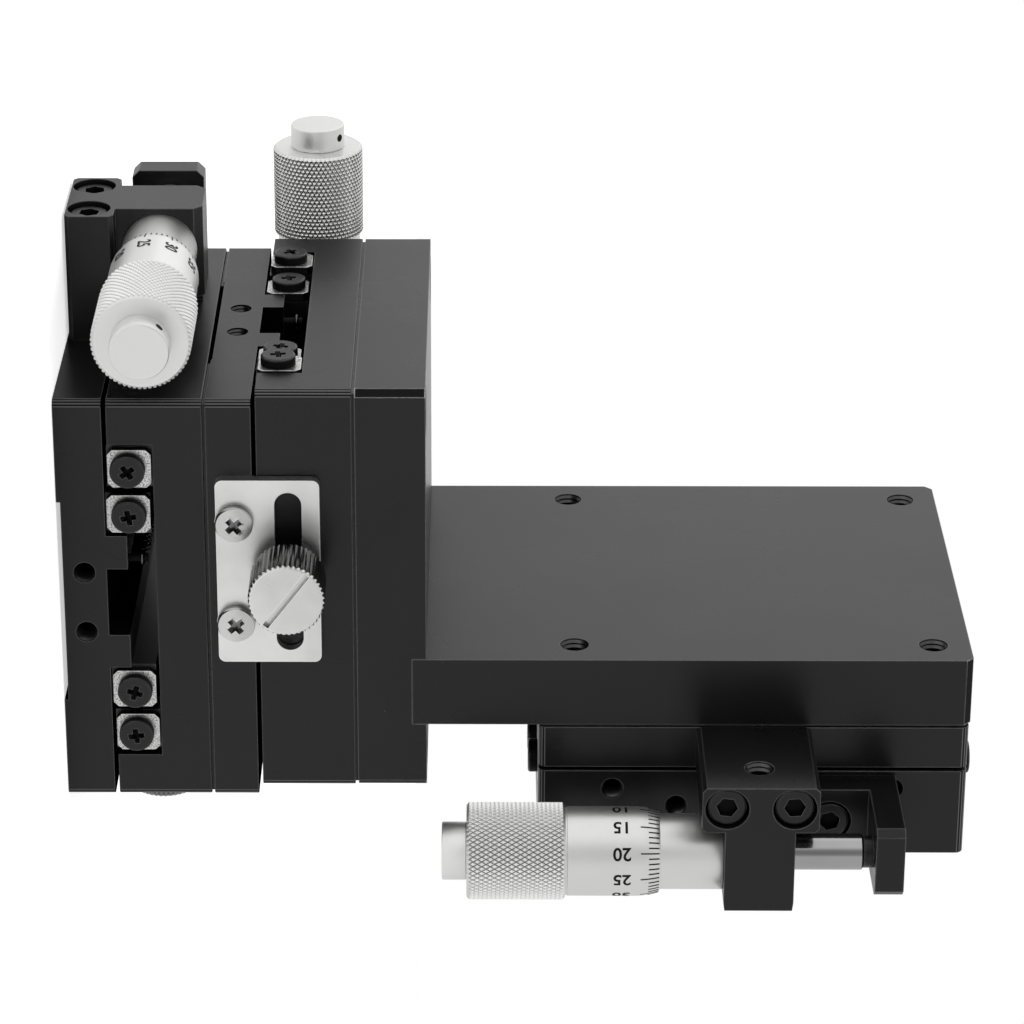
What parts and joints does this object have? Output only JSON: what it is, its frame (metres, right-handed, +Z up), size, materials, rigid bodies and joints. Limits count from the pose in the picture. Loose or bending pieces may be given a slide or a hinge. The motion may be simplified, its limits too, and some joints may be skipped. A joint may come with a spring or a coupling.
{
  "type": "three-axis linear translation stage",
  "caption": "Three crossed-roller slides stacked on an L bracket, each moved by a micrometer head and held by a slotted lock plate with a thumb screw.",
  "frame": {"origin": "centre of the base plate's underside", "axes": "+Z up, away from the table; +Y along the bottom slide's travel; +X out through the face that carries the load"},
  "size_m": [0.0906, 0.0982, 0.1274],
  "materials": {
    "black_anodised": "black satin anodised, machined",
    "ground_steel": "ground and hardened",
    "satin_chrome": "satin chrome plated",
    "nickel_plate": "bright nickel plated",
    "spring_steel": "drawn wire",
    "cage_brass": "stamped sheet",
    "black_screw": "black oxide"
  },
  "bodies": {
    "y_base": {"y_base_plate": "black_anodised", "y_base_rails": "ground_steel", "y_bracket": "black_anodised", "y_sleeve": "satin_chrome", "y_lock_plate": "nickel_plate", "y_spring": "spring_steel", "y_base_stops": "ground_steel", "y_base_cross_screws": "black_screw", "y_base_socket_screws": "black_screw", "y_base_spring_pins": "ground_steel"},
    "y_slide": {"y_slide_plate": "black_anodised", "y_slide_rails": "ground_steel", "y_anvil": "black_anodised", "y_slide_stops": "ground_steel", "y_slide_cross_screws": "black_screw", "y_slide_socket_screws": "black_screw", "y_slide_spring_pins": "ground_steel", "x_base_plate": "black_anodised", "x_base_rails": "ground_steel", "x_bracket": "black_anodised", "x_sleeve": "satin_chrome", "x_lock_plate": "nickel_plate", "x_spring": "spring_steel"},
    "x_slide": {"x_slide_plate": "black_anodised", "x_slide_rails": "ground_steel", "x_anvil": "black_anodised", "x_slide_stops": "ground_steel", "x_slide_cross_screws": "black_screw", "x_slide_socket_screws": "black_screw", "x_slide_spring_pins": "ground_steel", "bracket_leg": "black_anodised", "bracket_arm": "black_anodised", "z_base_plate": "black_anodised", "z_base_rails": "ground_steel", "z_bracket": "black_anodised", "z_sleeve": "satin_chrome", "z_lock_plate": "nickel_plate", "z_spring": "spring_steel"},
    "z_slide": {"z_slide_plate": "black_anodised", "z_slide_rails": "ground_steel", "z_anvil": "black_anodised", "z_slide_stops": "ground_steel", "z_slide_cross_screws": "black_screw", "z_slide_socket_screws": "black_screw", "z_slide_spring_pins": "ground_steel"},
    "y_cages": {"y_roller_cages": "cage_brass", "y_rollers": "ground_steel"},
    "y_spindle": {"y_spindle": "ground_steel"},
    "y_thimble": {"y_thimble": "satin_chrome"},
    "y_lock": {"y_lock_knob": "nickel_plate"},
    "x_cages": {"x_roller_cages": "cage_brass", "x_rollers": "ground_steel"},
    "x_spindle": {"x_spindle": "ground_steel"},
    "x_thimble": {"x_thimble": "satin_chrome"},
    "x_lock": {"x_lock_knob": "nickel_plate"},
    "z_cages": {"z_roller_cages": "cage_brass", "z_rollers": "ground_steel"},
    "z_spindle": {"z_spindle": "ground_steel"},
    "z_thimble": {"z_thimble": "satin_chrome"},
    "z_lock": {"z_lock_knob": "nickel_plate"}
  },
  "joints": [
    {"name": "y_spindle_feed", "type": "slide", "parent": "y_base", "child": "y_spindle", "axis": [0, 1, 0], "range_m": [-0.0065, 0.0065]},
    {"name": "y_thimble_turn", "type": "hinge", "parent": "y_spindle", "child": "y_thimble", "pos_m": [-0.0424, -0.03, 0.0132], "axis": [0, 1, 0], "range_deg": [-4680, 4680]},
    {"name": "y_travel", "type": "slide", "parent": "y_base", "child": "y_slide", "axis": [0, 1, 0], "range_m": [-0.0065, 0.0065], "deforming": ["y_spring"]},
    {"name": "y_cage_travel", "type": "slide", "parent": "y_base", "child": "y_cages", "axis": [0, 1, 0], "range_m": [-0.00325, 0.00325]},
    {"name": "y_lock_turn", "type": "hinge", "parent": "y_slide", "child": "y_lock", "pos_m": [0.036, -0.0041, 0.0115], "axis": [-1, 0, 0], "range_deg": [0, 90]},
    {"name": "x_spindle_feed", "type": "slide", "parent": "y_slide", "child": "x_spindle", "axis": [1, 0, 0], "range_m": [-0.005, 0.008]},
    {"name": "x_thimble_turn", "type": "hinge", "parent": "x_spindle", "child": "x_thimble", "pos_m": [-0.0315, 0.0424, 0.0334], "axis": [1, 0, 0], "range_deg": [-3600, 5760]},
    {"name": "x_travel", "type": "slide", "parent": "y_slide", "child": "x_slide", "axis": [1, 0, 0], "range_m": [-0.005, 0.008], "deforming": ["x_spring"]},
    {"name": "x_cage_travel", "type": "slide", "parent": "y_slide", "child": "x_cages", "axis": [1, 0, 0], "range_m": [-0.0025, 0.004]},
    {"name": "x_lock_turn", "type": "hinge", "parent": "x_slide", "child": "x_lock", "pos_m": [-0.0056, -0.036, 0.0317], "axis": [0, 1, 0], "range_deg": [0, 90]},
    {"name": "z_spindle_feed", "type": "slide", "parent": "x_slide", "child": "z_spindle", "axis": [0, 0, 1], "range_m": [-0.0065, 0.0065]},
    {"name": "z_thimble_turn", "type": "hinge", "parent": "z_spindle", "child": "z_thimble", "pos_m": [0.0319, -0.0424, 0.066], "axis": [0, 0, 1], "range_deg": [-4680, 4680]},
    {"name": "z_travel", "type": "slide", "parent": "x_slide", "child": "z_slide", "axis": [0, 0, 1], "range_m": [-0.0065, 0.0065], "deforming": ["z_spring"]},
    {"name": "z_cage_travel", "type": "slide", "parent": "x_slide", "child": "z_cages", "axis": [0, 0, 1], "range_m": [-0.00325, 0.00325]},
    {"name": "z_lock_turn", "type": "hinge", "parent": "z_slide", "child": "z_lock", "pos_m": [0.0302, 0.036, 0.0919], "axis": [0, -1, 0], "range_deg": [0, 90]}
  ],
  "couplings": [
    {"joint": "y_thimble_turn", "follows": "y_travel", "rad_per_m": 12566},
    {"joint": "y_spindle_feed", "follows": "y_travel", "ratio": 1},
    {"joint": "y_cage_travel", "follows": "y_travel", "ratio": 0.5},
    {"joint": "x_thimble_turn", "follows": "x_travel", "rad_per_m": 12566},
    {"joint": "x_spindle_feed", "follows": "x_travel", "ratio": 1},
    {"joint": "x_cage_travel", "follows": "x_travel", "ratio": 0.5},
    {"joint": "z_thimble_turn", "follows": "z_travel", "rad_per_m": 12566},
    {"joint": "z_spindle_feed", "follows": "z_travel", "ratio": 1},
    {"joint": "z_cage_travel", "follows": "z_travel", "ratio": 0.5}
  ]
}
